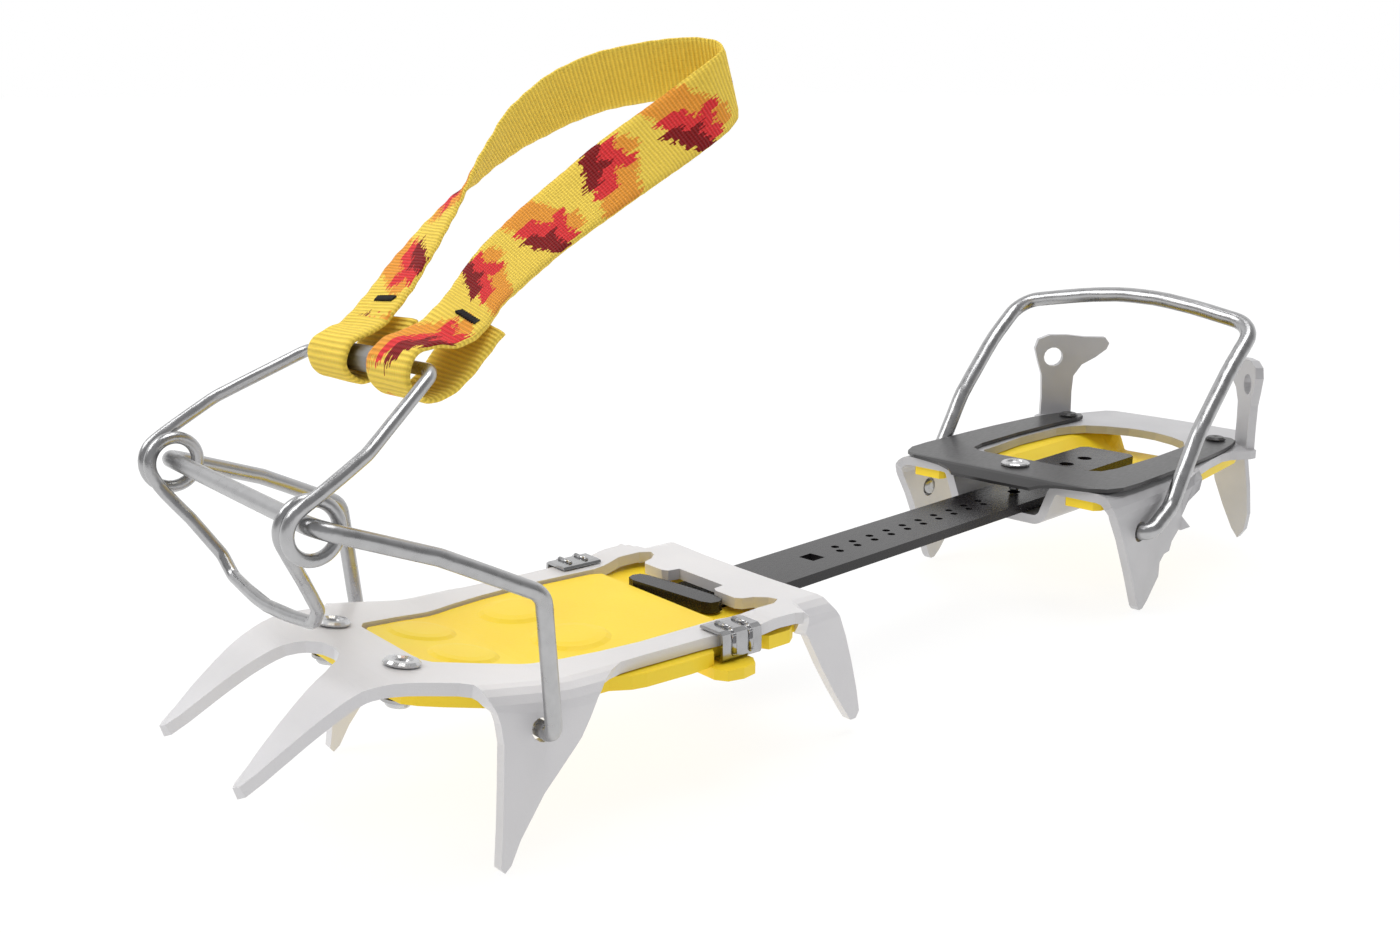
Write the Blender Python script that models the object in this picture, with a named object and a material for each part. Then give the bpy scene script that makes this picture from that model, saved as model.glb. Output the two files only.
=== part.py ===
"""Ten-point mountaineering crampon: toe section, linking bar, heel section.

All driving dimensions are in drawing units of 0.96 mm. The toe section is laid
out in its own frame (toe tips toward -Y, ground at z = 0, symmetric about
x = 0); the heel section and the linking bar are laid out along a bar axis that
is swung sideways about the T-joint in the toe section.
"""
import bpy
import bmesh
import math
from mathutils import Vector, Matrix, geometry

U = 0.00096            # metres per drawing unit
SWING = math.radians(6.65)   # sideways swing of the bar in the toe joint
PIVOT_Y = 84.0         # joint position along the foot
PIVOT_X = 1.3
OFFSET = Vector((13.70306, -159.72819, 0.18388))   # moves the assembly over the frame origin

SHEET = 3.1            # steel sheet thickness
GAP = 0.36             # air between pieces that touch in real life

TOE_TOP = 40.0         # upper face of the toe plate
HEEL_TOP = 44.5        # upper face of the heel plate
BAIL_Y, BAIL_Z = 13.3, 31.5      # toe bail hinge
HBAIL_Y, HBAIL_Z = 262.0, 29.2   # heel bail hinge
ROD_A = (31.5, -4.5, 115.9)      # near and far ends of the lever wire's upper rod
ROD_B = (-28.5, -5.3, 113.2)
CROSS_Y, CROSS_Z = -38.8, 88.6   # toe bail crosspiece

for o in list(bpy.data.objects):
    bpy.data.objects.remove(o, do_unlink=True)

scene = bpy.context.scene
parts = bpy.data.collections.new("crampon")
scene.collection.children.link(parts)
cutters = bpy.data.collections.new("cutters")
scene.collection.children.link(cutters)


def toe(p):
    return Vector(p) + OFFSET


def heel(p):
    c, s = math.cos(SWING), math.sin(SWING)
    x, y = p[0], p[1] - PIVOT_Y
    return Vector((c * x - s * y + PIVOT_X, s * x + c * y + PIVOT_Y, p[2])) + OFFSET


def material(name, colour, metallic, rough):
    m = bpy.data.materials.new(name)
    m.use_nodes = True
    b = m.node_tree.nodes["Principled BSDF"]
    b.inputs["Base Color"].default_value = (*colour, 1.0)
    b.inputs["Metallic"].default_value = metallic
    b.inputs["Roughness"].default_value = rough
    m.diffuse_color = (*colour, 1.0)
    return m


def finish(name, bm, place, origin, mat):
    """Turn a bmesh in drawing units into a named node in metres."""
    org = place(origin) * U
    for v in bm.verts:
        v.co = place(v.co) * U - org
    bmesh.ops.remove_doubles(bm, verts=bm.verts, dist=1e-6)
    bmesh.ops.recalc_face_normals(bm, faces=bm.faces)
    me = bpy.data.meshes.new(name)
    bm.to_mesh(me)
    bm.free()
    ob = bpy.data.objects.new(name, me)
    ob.location = org
    parts.objects.link(ob)
    me.materials.append(material("mat_" + name, *mat))
    return ob


def union(bm_list):
    """Exact union of closed bmeshes, returned as a bmesh."""
    obs = []
    for i, bm in enumerate(bm_list):
        bmesh.ops.recalc_face_normals(bm, faces=bm.faces)
        me = bpy.data.meshes.new("u%d" % i)
        bm.to_mesh(me)
        bm.free()
        ob = bpy.data.objects.new("u%d" % i, me)
        cutters.objects.link(ob)
        obs.append(ob)
    base = obs[0]
    for ob in obs[1:]:
        m = base.modifiers.new("add", "BOOLEAN")
        m.operation = "UNION"
        m.solver = "EXACT"
        m.object = ob
    bpy.context.view_layer.update()
    dg = bpy.context.evaluated_depsgraph_get()
    me = bpy.data.meshes.new_from_object(base.evaluated_get(dg))
    out = bmesh.new()
    out.from_mesh(me)
    for ob in obs:
        bpy.data.objects.remove(ob, do_unlink=True)
    bmesh.ops.remove_doubles(out, verts=out.verts, dist=1e-5)
    return out


def circle(cx, cy, r, n=14, ry=None):
    ry = r if ry is None else ry
    return [(cx + r * math.cos(2 * math.pi * i / n), cy + ry * math.sin(2 * math.pi * i / n)) for i in range(n)]


def flat_sheet(outline, holes, cuts):
    loops = [[Vector((p[0], p[1], 0)) for p in outline]]
    loops += [[Vector((p[0], p[1], 0)) for p in h] for h in holes]
    tris = geometry.tessellate_polygon(loops)
    bm = bmesh.new()
    vs = [bm.verts.new(p) for l in loops for p in l]
    for a, b, c in tris:
        f = bm.faces.new((vs[a], vs[b], vs[c]))
        f.normal_update()
        if f.normal.z < 0:
            f.normal_flip()
    bmesh.ops.dissolve_limit(bm, angle_limit=0.01, verts=bm.verts, edges=bm.edges)
    for axis, val, lo, hi in cuts:
        other = 1 - axis
        faces = []
        for f in bm.faces:
            a = [v.co[axis] for v in f.verts]
            b = [v.co[other] for v in f.verts]
            if min(a) < val - 1e-4 and max(a) > val + 1e-4 and max(b) > lo and min(b) < hi:
                faces.append(f)
        geom = set(faces)
        for f in faces:
            geom.update(f.edges)
            geom.update(f.verts)
        co = [0.0, 0.0, 0.0]
        no = [0.0, 0.0, 0.0]
        co[axis] = val
        no[axis] = 1.0
        bmesh.ops.bisect_plane(bm, geom=list(geom), dist=1e-4, plane_co=co, plane_no=no)
    return bm


def thicken(flat, fmap, thick):
    """Carry a flat sheet onto its folded shape and give it thickness."""
    bmesh.ops.triangulate(flat, faces=flat.faces, quad_method="BEAUTY", ngon_method="EAR_CLIP")
    out = bmesh.new()
    e = 0.02
    top, bot = {}, {}
    for v in flat.verts:
        s, y = v.co.x, v.co.y
        p = fmap(s, y)
        n = (fmap(s + e, y) - fmap(s - e, y)).cross(fmap(s, y + e) - fmap(s, y - e)).normalized()
        t = thick(s, y) if callable(thick) else thick
        top[v] = out.verts.new(p)
        bot[v] = out.verts.new(p - n * t)
    for f in flat.faces:
        vs = list(f.verts)
        out.faces.new([top[v] for v in vs])
        out.faces.new([bot[v] for v in reversed(vs)])
    for ed in flat.edges:
        if len(ed.link_faces) == 1:
            l = ed.link_loops[0]
            a, b = l.vert, l.link_loop_next.vert
            out.faces.new((top[b], top[a], bot[a], bot[b]))
    flat.free()
    return out


def prism(poly, z0, z1):
    """Upright prism on an XY polygon."""
    bm = flat_sheet(poly, [], [])
    return thicken(bm, lambda s, y: Vector((s, y, z1)), z1 - z0)


def turned(bm, matrix):
    bmesh.ops.transform(bm, matrix=matrix, verts=bm.verts)
    return bm


def lathe(profile, n=18):
    """Closed body of revolution about Z from (r, z) pairs."""
    bm = bmesh.new()
    rings = []
    for r, z in profile:
        if r < 1e-6:
            rings.append([bm.verts.new((0, 0, z))])
        else:
            rings.append([bm.verts.new((r * math.cos(2 * math.pi * i / n), r * math.sin(2 * math.pi * i / n), z)) for i in range(n)])
    closed = profile[0][0] > 1e-6
    pairs = list(zip(rings, rings[1:])) + ([(rings[-1], rings[0])] if closed else [])
    for a, b in pairs:
        for i in range(n):
            j = (i + 1) % n
            if len(a) == 1:
                bm.faces.new((a[0], b[j], b[i]))
            elif len(b) == 1:
                bm.faces.new((a[i], a[j], b[0]))
            else:
                bm.faces.new((a[i], a[j], b[j], b[i]))
    return bm


def rounded(pts, rad, cyclic=False, n=6):
    """Round the corners of a 3-D polyline."""
    pts = [Vector(p) for p in pts]
    k = len(pts)
    out = []
    for i, p in enumerate(pts):
        r = rad[i] if isinstance(rad, (list, tuple)) else rad
        if not cyclic and i in (0, k - 1) or r <= 0:
            out.append(p)
            continue
        a, b = pts[i - 1], pts[(i + 1) % k]
        d1, d2 = (p - a).normalized(), (b - p).normalized()
        turn = d1.angle(d2)
        if turn < 0.03:
            out.append(p)
            continue
        tl = min(r * math.tan(turn / 2), 0.47 * (p - a).length, 0.47 * (b - p).length)
        rr = tl / math.tan(turn / 2)
        o = p + (d2 - d1).normalized() * (rr / math.cos(turn / 2))
        s = p - d1 * tl
        ax = d1.cross(d2).normalized()
        m = max(2, int(math.ceil(turn / math.radians(10))))
        for j in range(m + 1):
            out.append(o + Matrix.Rotation(turn * j / m, 3, ax) @ (s - o))
    return out


def wire(path, r, cyclic=False):
    """Round wire along a polyline, as a bmesh."""
    cu = bpy.data.curves.new("wire", "CURVE")
    cu.dimensions = "3D"
    sp = cu.splines.new("POLY")
    sp.points.add(len(path) - 1)
    for q, p in zip(sp.points, path):
        q.co = (p[0], p[1], p[2], 1.0)
    sp.use_cyclic_u = cyclic
    cu.bevel_depth = r
    cu.bevel_resolution = 3
    cu.use_fill_caps = True
    ob = bpy.data.objects.new("wire", cu)
    cutters.objects.link(ob)
    bpy.context.view_layer.update()
    dg = bpy.context.evaluated_depsgraph_get()
    me = bpy.data.meshes.new_from_object(ob.evaluated_get(dg))
    bm = bmesh.new()
    bm.from_mesh(me)
    bmesh.ops.remove_doubles(bm, verts=bm.verts, dist=1e-4)
    bpy.data.objects.remove(ob, do_unlink=True)
    return bm


def table(knots, y):
    if y <= knots[0][0]:
        return knots[0][1]
    for (a, u), (b, v) in zip(knots, knots[1:]):
        if y <= b:
            return u + (v - u) * (y - a) / (b - a)
    return knots[-1][1]


def soft_table(knots, y, w):
    return sum(table(knots, y + w * k / 2.0) for k in (-2, -1, 0, 1, 2)) / 5.0


def mirror_outline(half):
    """half runs from the -Y end to the +Y end on the +X side."""
    return half + [(-x, y) for x, y in reversed(half) if abs(x) > 1e-6]


WHITE = ((0.80, 0.79, 0.80), 0.0, 0.35)
YELLOW = ((1.0, 0.75, 0.04), 0.0, 0.45)
STEEL = ((0.62, 0.62, 0.63), 1.0, 0.32)
DARK = ((0.045, 0.042, 0.045), 0.4, 0.35)
GREY = ((0.16, 0.16, 0.16), 0.8, 0.4)
CHROME = ((0.75, 0.75, 0.76), 1.0, 0.15)
WEB = ((0.93, 0.68, 0.08), 0.0, 0.85)
THREAD = ((0.02, 0.02, 0.02), 0.0, 0.9)

# ---------------------------------------------------------------- toe plate
TOE_R = 6.0
TOE_PROFILE = [(-52, 28.1), (-45, 33.4), (-40, 37.0), (-35, 40.3), (-30, 43.3), (-25, 45.5), (-21, 46.4),
               (-16, 46.4), (-12, 45.85), (22, 40.0), (84, 40.0), (88, 41.2), (140, 41.2)]


def toe_top(y):
    return soft_table(TOE_PROFILE, y, 2.6)


def toe_x0(y):
    return table([(0, 37.0), (39, 37.0), (44, 41.0), (97, 41.0), (101, 31.5), (130, 31.5)], y)


def toe_th(y):
    return math.radians(86.6) if y < 60 else math.pi / 2


def toe_map(s, y):
    a, sg = abs(s), (1.0 if s >= 0 else -1.0)
    x0, th = toe_x0(y), toe_th(y)
    zt = toe_top(y)
    if a <= x0:
        return Vector((s, y, zt))
    t = (a - x0) / TOE_R
    if t < th:
        return Vector((sg * (x0 + TOE_R * math.sin(t)), y, zt - TOE_R * (1 - math.cos(t))))
    rest = a - x0 - TOE_R * th
    return Vector((sg * (x0 + TOE_R * math.sin(th) + rest * math.cos(th)), y,
                   zt - TOE_R * (1 - math.cos(th)) - rest * math.sin(th)))


def toe_s(y, z):
    """Distance across the flat pattern of the point at height z on the side wall."""
    drop = toe_top(y) - z
    th = toe_th(y)
    if drop < TOE_R * (1 - math.cos(th)):
        return toe_x0(y) + TOE_R * math.acos(max(-1.0, 1 - drop / TOE_R))
    return toe_x0(y) + TOE_R * th + (drop - TOE_R * (1 - math.cos(th))) / math.sin(th)


half = [(0, -17), (4.5, -17.8), (8.5, -20.5), (11.5, -25), (14.5, -34), (17.6, -44), (20.3, -51.4), (21.6, -52.4), (22.9, -51.4),
        (25.4, -42), (27.4, -32), (28.3, -24), (30, -18), (32.3, -10), (34.3, -3), (36.2, -0.6)]
half += [(toe_s(y, z), y) for y, z in ((0.2, 41.6), (1.4, 38.8), (2.3, 35.5), (2.8, 30.5), (1.9, 20), (0.9, 10), (-0.2, 1.2),
                                       (0.8, 0.0), (2.6, 1.4), (5.5, 6.7), (12.7, 16), (19.8, 22.7), (24, 26.8), (26.8, 31.0),
                                       (29.2, 35.2), (32.5, 38.2), (36, 39.6))]
half += [(37.2, 40), (37, 48), (37, 66), (37.8, 78), (39, 86), (39.7, 95)]
half += [(toe_s(y, z), y) for y, z in ((98.6, 39.6), (100.2, 36.5), (101.8, 32.5), (107, 22.5), (112, 14), (116.5, 7), (118.6, 4.0),
                                       (120.6, 4.0), (121.9, 6), (120.6, 13), (118.4, 21.6), (116, 29.5), (113.6, 35.8), (111.2, 39.4))]
half += [(31, 110.3), (16, 109.4), (0, 109.2)]
toe_outline = mirror_outline(half)

whalf = [(0, -2.6), (14.5, -2.6), (17.6, -0.6), (21.3, 10), (24.2, 20), (26.5, 30), (28, 40), (28.8, 52), (28.4, 66), (28, 78),
         (30.2, 88), (30.2, 96), (28.3, 99), (25.6, 98), (22.8, 95), (21.8, 92), (20.2, 90.6), (12.2, 90.6),
         (10.4, 91.6), (9.8, 95.2), (0, 95.2)]
window = mirror_outline(whalf)

holes = [window]
for sx in (1, -1):
    holes.append(circle(sx * 18, -8.7, 2.3, 12))
    holes.append(circle(sx * toe_s(BAIL_Y, BAIL_Z), BAIL_Y, 3.0, 16))
cuts = [(1, y, -99, 99) for y in (-48, -45, -42, -39, -36, -33, -30, -27.5, -25, -22.5, -20, -17, -14, -11, -8)]
cuts += [(1, y, -99, 99) for y in (19, 22, 25, 82, 84, 86, 88, 90, 97, 98.4, 99.7, 101)]
for sx in (1, -1):
    cuts += [(0, sx * (37.0 + TOE_R * toe_th(0) * k / 4), -4, 38) for k in range(5)]
    cuts += [(0, sx * (31.5 + TOE_R * math.pi / 2 * k / 4), 97.2, 125) for k in range(5)]
finish("toe_plate", thicken(flat_sheet(toe_outline, holes, cuts), toe_map, SHEET), toe, (0, 0, TOE_TOP), WHITE)

# ------------------------------------------------------- toe plastic base
BASE_T = 3.7


def base_top(y):
    return soft_table([(k, v) for k, v in TOE_PROFILE if k < 80] + [(140, 40.0)], y, 2.6) - SHEET - GAP - (0.08 if y < 22 else 0.0)


def base_map(s, y):
    return Vector((s, y, base_top(y)))


half = [(0, -13.6), (18, -13.3), (24.5, -12.4), (27, -9.5), (29.5, -4), (32, 3), (34.4, 10), (36.2, 22), (36.3, 37), (39.2, 42),
        (40, 46), (40.2, 60), (39.4, 67.6), (36.4, 69.4), (36.4, 84.9), (39.2, 86.4), (38.8, 94), (36.2, 97.4), (33.4, 98.6), (33.2, 103),
        (30.5, 106.6), (14, 107.2), (14, 86.0), (0, 86.0)]
base_outline = mirror_outline(half)
bholes = [circle(sx * 18, -9.3, 2.6, 12) for sx in (1, -1)]
base = thicken(flat_sheet(base_outline, bholes, [(1, y, -99, 99) for y in (-11, -8, 19, 22, 25)]), base_map, BASE_T)
tray_top = base_top(60) - BASE_T + 0.2
pieces = [base, prism([(-18, 84.5), (18, 84.5), (18, 99), (-18, 99)], tray_top - 2.3, tray_top)]
# raised panel filling the window of the plate
PANEL_DROP = 0.9
phalf = [(0, -1.6), (14.0, -1.6), (16.6, 0.2), (20.4, 10.4), (23.2, 20), (25.5, 30), (27, 40), (27.8, 52), (27.4, 66), (27, 76), (25.5, 79), (0, 79)]
panel = flat_sheet(mirror_outline(phalf), [], [(1, y, -99, 99) for y in (19, 22, 25)])
pieces.append(thicken(panel, lambda a, y: Vector((a, y, toe_top(y) - PANEL_DROP)), 3.3))
for sx in (1, -1):
    tab = [(28, 66), (41.5, 66), (44.6, 68), (45.6, 72.5), (44.6, 77), (41.5, 79), (28, 79)]
    if sx < 0:
        tab = [(-x, y) for x, y in reversed(tab)]
    pieces.append(prism(tab, tray_top - 2.9, tray_top))
    for y, r, h in ((16, 9.0, 0.9), (42, 10.5, 1.1)):
        dome = lathe([(0, -1.0), (r, -1.0), (r, 0.0), (r * 0.86, h * 0.62), (r * 0.62, h * 0.92), (0, h)], 18)
        lift = toe_top(y) - PANEL_DROP
        tilt = Matrix.Rotation(math.atan(-0.172), 4, "X") if y < 20 else Matrix.Identity(4)
        if y < 20:
            pieces.append(turned(dome, Matrix.Translation((sx * 10.5, y - 4, toe_top(y - 4) - PANEL_DROP)) @ tilt))
        else:
            pieces.append(turned(dome, Matrix.Translation((sx * 13, y, lift))))
finish("toe_base_plastic", union(pieces), toe, (0, 40, 36), YELLOW)

# ------------------------------------------------------------- toe rivets
RAMP = Matrix.Rotation(math.atan(-0.172), 4, "X")
for tag, sx in (("near", 1), ("far", -1)):
    at = Matrix.Translation((sx * 18, -8.7, toe_top(-8.7))) @ RAMP
    body = lathe([(0, -9.9), (2.7, -9.9), (3.1, -9.4), (3.1, -8.8), (1.9, -8.8), (1.9, 0.36), (4.5, 0.36), (4.5, 0.8),
                  (3.9, 1.4), (2.6, 1.5), (1.9, 1.0), (1.5, 0.2), (0, 0.1)])
    finish("toe_rivet_" + tag, turned(body, at), toe, (sx * 18, -8.7, 45), CHROME)
    ring = lathe([(2.4, -8.45), (4.3, -8.45), (4.3, -7.65), (2.4, -7.65)])
    finish("toe_washer_" + tag, turned(ring, at), toe, (sx * 18, -8.7, 37), STEEL)

# -------------------------------------------------------------- toe clips
for tag, sx in (("near", 1), ("far", -1)):
    z1 = TOE_TOP + GAP + 0.06
    prof = [(31, z1 + 0.1), (31.3, z1 + 0.8), (33, z1 + 0.95), (38.9, z1 + 0.95), (40.2, z1 + 0.2), (40.4, 38.8), (40.4, 34.2), (39.9, 33.45),
            (37.0, 33.4), (37.0, 34.2), (39.2, 34.3), (39.5, 34.7), (39.5, 38.8), (39.3, z1), (31, z1)]
    if sx < 0:
        prof = [(-x, z) for x, z in reversed(prof)]
    bm = prism(prof, -82.7, -69.7)
    bm = turned(bm, Matrix.Rotation(math.radians(90), 4, "X"))
    finish("toe_clip_" + tag, bm, toe, (sx * 38, 77, 38), CHROME)

# --------------------------------------------------------------- toe bail
WB = 2.15
right = [(37.4, BAIL_Y, BAIL_Z), (48.1, BAIL_Y, BAIL_Z), (49.6, 10.3, 66.7), (45.4, -12.8, 78.6), (41.0, CROSS_Y, CROSS_Z)]
left = [(-x, y, z) for x, y, z in reversed(right)]
path = rounded(right + left, [0, 3.2, 5, 12, 5.6, 5.6, 12, 5, 3.2, 0])
finish("toe_bail", wire(path, WB), toe, (0, BAIL_Y, BAIL_Z), STEEL)

# ------------------------------------------------------------- lever wire
WL = 1.6
COIL_R = 6.25
COIL_Y, COIL_Z = -38.1, 87.6


def coil(sx):
    """Turn and a quarter round the bail corner, from the upper leg to the lower leg."""
    a0, a1 = math.radians(122), math.radians(213.5 + 360)
    n = 30
    out = []
    for i in range(n + 1):
        t = i / n
        a = a0 + (a1 - a0) * t
        out.append((sx * (40.6 - 4.6 * t), COIL_Y + COIL_R * math.cos(a), COIL_Z + COIL_R * math.sin(a)))
    return [Vector(p) for p in out]


near_top = rounded([ROD_B, ROD_A, (40.0, -25.7, 101.9), (40.9, -36.5, 95.7)], [0, 4.5, 9, 0])
far_top = rounded([ROD_A, ROD_B, (-40.0, -25.7, 101.9), (-40.9, -36.5, 95.7)], [0, 4.5, 9, 0])
near_low = rounded([(35.6, -42.0, 81.5), (30.8, -37.5, 75.0), (26.2, -32.2, 66.0), (22.0, -31.5, 61.5), (0, -33, 59.5)], [0, 4, 4.5, 4.5, 0])


def mirrored(pts):
    return [Vector((-p[0], p[1], p[2])) for p in pts]


loop = near_top[1:] + coil(1) + near_low
loop += list(reversed(mirrored(near_low)))[1:] + list(reversed(coil(-1))) + list(reversed(far_top))[:-1]
finish("lever_wire", wire(loop, WL, cyclic=True), toe, (0, CROSS_Y, CROSS_Z), STEEL)

RA, RB = Vector(ROD_A), Vector(ROD_B)
ROD_DIR = (RA - RB).normalized()


def on_rod(x):
    return RB + (RA - RB) * ((x - RB.x) / (RA.x - RB.x))


SLEEVE_LEN = 31.0
sleeve = lathe([(2.0, -SLEEVE_LEN / 2), (3.15, -SLEEVE_LEN / 2), (3.15, SLEEVE_LEN / 2), (2.0, SLEEVE_LEN / 2)], 16)
sleeve = turned(sleeve, Matrix.Translation(on_rod(-7.0)) @ ROD_DIR.to_track_quat("Z", "Y").to_matrix().to_4x4())
finish("lever_sleeve", sleeve, toe, tuple(on_rod(0)), GREY)

# ------------------------------------------------------------ ankle strap
# centre and half-width vector of the webbing along its length
ST = [((13.5, 18.5, 122.4), (9.7, 0.2, -1.6)), ((16.6, 10.8, 116.6), (9.7, 0.1, -0.8)), ((18.4, 4.0, 111.0), (9.7, 0, 0)),
      ((18.9, -1.5, 108.4), (9.7, 0, 0.3)), ((19.0, -6.0, 109.2), (9.7, 0, 0.4)), ((18.8, -8.9, 112.6), (9.5, 0, 0.4)), ((18.7, -8.6, 117.0), (9.5, 0, 0.4)),
      ((18.5, -5.4, 119.8), (9.5, 0, 0.2)), ((17.7, -0.5, 120.6), (9.6, 0, -0.4)), ((16.6, 5.6, 121.2), (9.6, 0.1, -1.4)),
      ((14.0, 13.0, 124.2), (9.5, 0.2, -2.2)), ((4.9, 23.6, 128.4), (9.5, 0.2, -2.6)), ((-4.2, 34.9, 132.2), (8.9, 0.5, -3.9)),
      ((-14.9, 54.1, 139.6), (8.4, 1.0, -4.9)), ((-22.6, 72.4, 146.7), (7.6, 1.8, -5.8)), ((-26.8, 89.1, 154.3), (6.4, 2.9, -6.8)),
      ((-28.7, 104.7, 161.7), (5.4, 3.6, -7.3)), ((-29.8, 117.3, 168.1), (4.4, 3.8, -7.9)), ((-30.6, 126.2, 173.1), (1.4, 4.3, -8.6)),
      ((-32.9, 132.6, 177.0), (-0.6, 3.6, -9.1)), ((-38.6, 134.6, 179.6), (-1.2, 3.3, -9.1)), ((-45.9, 130.1, 180.9), (-1.9, 3.4, -9.0)),
      ((-52.4, 120.1, 180.2), (-2.8, 4.0, -8.5)), ((-57.2, 106.0, 177.6), (-3.1, 4.6, -8.0)), ((-58.5, 93.7, 173.7), (-3.5, 5.4, -7.3)),
      ((-57.0, 82.5, 169.0), (-4.3, 6.1, -6.2)), ((-54.5, 71.8, 163.6), (-5.6, 6.3, -4.7)), ((-50.8, 62.7, 158.0), (-6.9, 6.0, -3.1)),
      ((-46.6, 54.9, 153.2), (-7.7, 5.6, -2.0)), ((-42.6, 48.6, 149.5), (-8.4, 4.7, -1.0)), ((-39.0, 42.6, 146.0), (-9.0, 3.6, -0.5)),
      ((-34.8, 35.9, 141.8), (-9.4, 2.4, -0.3)), ((-29.4, 26.8, 135.9), (-9.6, 1.0, -0.4)), ((-23.0, 17.6, 130.2), (-9.7, 0.0, -0.6)),
      ((-16.4, 8.6, 124.9), (-9.7, -0.6, -0.9)), ((-12.4, 0.8, 120.6), (-9.7, -0.3, -0.5)), ((-10.6, -4.2, 119.2), (-9.7, 0, -0.4)),
      ((-10.0, -8.3, 117.4), (-9.7, 0, -0.4)), ((-10.0, -9.9, 113.8), (-9.7, 0, -0.4)), ((-10.0, -8.5, 110.3), (-9.7, 0, -0.4)),
      ((-10.0, -4.8, 108.7), (-9.7, 0, -0.4)), ((-10.2, -0.3, 110.4), (-9.7, 0, -0.4)), ((-10.4, 4.4, 116.2), (-9.7, -0.2, -0.5)),
      ((-10.6, 9.2, 121.4), (-9.7, -0.3, -0.6))]
WEB_T = 1.7


def catmull(a, b, c, d, t):
    return 0.5 * ((2 * b) + (c - a) * t + (2 * a - 5 * b + 4 * c - d) * t * t + (3 * b - a - 3 * c + d) * t ** 3)


fine = []
for i in range(len(ST) - 1):
    ids = [max(0, i - 1), i, i + 1, min(len(ST) - 1, i + 2)]
    for t in (0.0, 0.5):
        fine.append(tuple(catmull(*[Vector(ST[k][j]) for k in ids], t) for j in (0, 1)))
fine.append((Vector(ST[-1][0]), Vector(ST[-1][1])))
bm = bmesh.new()
rows = []
for i, (c, h) in enumerate(fine):
    t = (fine[min(i + 1, len(fine) - 1)][0] - fine[max(i - 1, 0)][0]).normalized()
    h = h.normalized() * 9.75
    n = h.cross(t).normalized() * (WEB_T / 2)
    rows.append([bm.verts.new(c - h - n), bm.verts.new(c + h - n), bm.verts.new(c + h + n), bm.verts.new(c - h + n)])
for a, b in zip(rows, rows[1:]):
    for k in range(4):
        bm.faces.new((a[k], a[(k + 1) % 4], b[(k + 1) % 4], b[k]))
bm.faces.new(rows[0][::-1])
bm.faces.new(rows[-1])
bmesh.ops.triangulate(bm, faces=bm.faces)
finish("ankle_strap", bm, toe, tuple(on_rod(0)), WEB)

for tag, i, side in (("near", 10, 1), ("far", 34, 1)):
    c, h = Vector(ST[i][0]), Vector(ST[i][1]).normalized()
    t = (Vector(ST[i + 1][0]) - Vector(ST[i - 1][0])).normalized()
    n = h.cross(t).normalized()
    if n.z < 0:
        n = -n
    t2 = n.cross(h).normalized()
    bm = bmesh.new()
    bmesh.ops.create_cube(bm, size=1.0, matrix=Matrix.Translation(c + n * (WEB_T / 2 + 0.36 + 0.35)) @
                          Matrix((h, t2, n)).transposed().to_4x4() @ Matrix.Diagonal((15.0, 2.2, 0.7, 1.0)))
    finish("strap_bartack_" + tag, bm, toe, tuple(c + n * 1.6), THREAD)

# ------------------------------------------------------------- linking bar
BAR_TOP = 36.4
BAR_T = 3.1
BAR_PROFILE = [(60, 40.4), (88.6, 40.4), (94.8, BAR_TOP), (267.5, BAR_TOP), (277.5, 40.6), (400, 40.6)]


def bar_map(s, y):
    return Vector((s, y, soft_table(BAR_PROFILE, y, 1.2)))


half = [(0, 81.6), (13.5, 81.6), (16.2, 82.6), (17, 84.8), (16.2, 87.0), (13.5, 88.0), (8.4, 88.5), (8.2, 95.6), (11.2, 97.6), (11.2, 316.8), (9.0, 319), (0, 319)]
bar_outline = mirror_outline(half)
bh = [[(-2.9, 141.0), (2.9, 141.0), (2.9, 146.4), (-2.9, 146.4)], circle(0, 254, 2.3, 12), circle(0, 288.4, 2.7, 12), circle(0, 301, 2.7, 12)]
INDEX_PITCH = 8.6
for k in range(10):
    y = 156 + INDEX_PITCH * k
    bh.append(circle(-1.9, y + 1.1, 1.35, 8))
    bh.append(circle(1.9, y - 1.1, 1.35, 8))
cuts = [(1, y, -99, 99) for y in (87.4, 88.6, 89.8, 93.6, 94.8, 96, 266, 267.5, 270, 275, 277.5, 279)]
finish("link_bar", thicken(flat_sheet(bar_outline, bh, cuts), bar_map, BAR_T), heel, (0, 87, 36), DARK)

# -------------------------------------------------------------- heel plate
HR = 7.0
HX0 = 38.5
CH_FLOOR = 32.6
flat_part = rounded([(0, 0, CH_FLOOR), (16.0, 0, CH_FLOOR), (20.6, 0, HEEL_TOP), (34, 0, HEEL_TOP)], [0, 2.6, 4.4, 0])
LEN = [0.0]
for p, q in zip(flat_part, flat_part[1:]):
    LEN.append(LEN[-1] + (q - p).length)
EXTRA = LEN[-1] - 34.0      # extra length used by the corrugation on each side


def heel_x0(y):
    return table([(0, HX0), (291, HX0), (303, 48.5), (500, 48.5)], y)


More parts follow.
